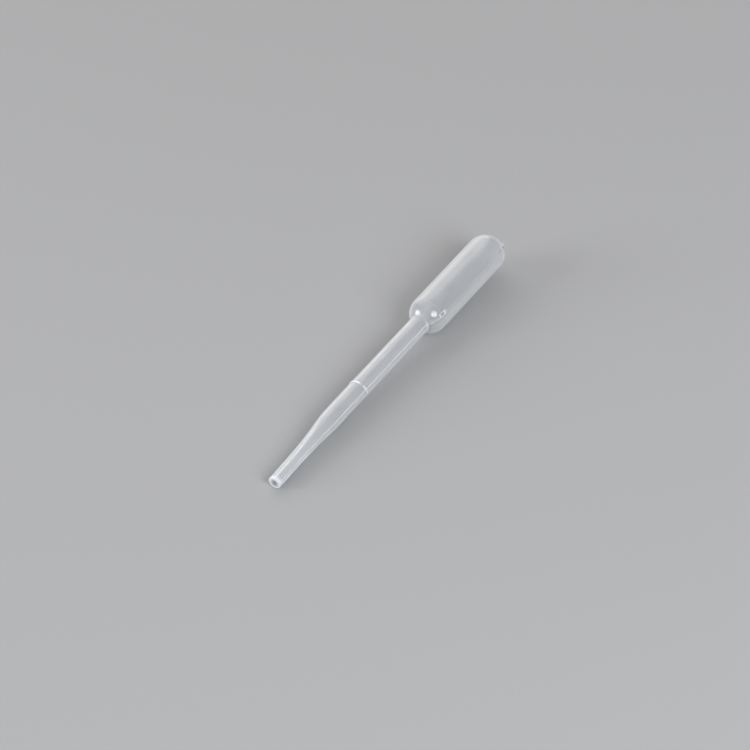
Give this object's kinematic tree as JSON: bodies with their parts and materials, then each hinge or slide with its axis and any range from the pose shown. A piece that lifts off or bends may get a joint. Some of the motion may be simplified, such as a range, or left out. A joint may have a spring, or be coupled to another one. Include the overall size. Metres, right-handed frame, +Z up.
{
  "type": "dropper pipette",
  "caption": "Small one-piece squeeze pipette: a round-ended bulb on a hollow stem with a raised ring and a seam, drawn down through a long taper to a narrow open tip.",
  "frame": {"origin": "on the surface that it rests on, under the middle of its length and width", "axes": "+X along its length from the mouth towards the bulb, +Z up; it lies on the bulb's shoulder and the mouth's lower edge, so the stem dips 2.8 degrees towards the mouth"},
  "size_m": [0.0872, 0.0086, 0.0098],
  "materials": {
    "polyethylene": "translucent natural low-density polyethylene, satin"
  },
  "bodies": {
    "root": {"pipette": "polyethylene"}
  },
  "joints": []
}
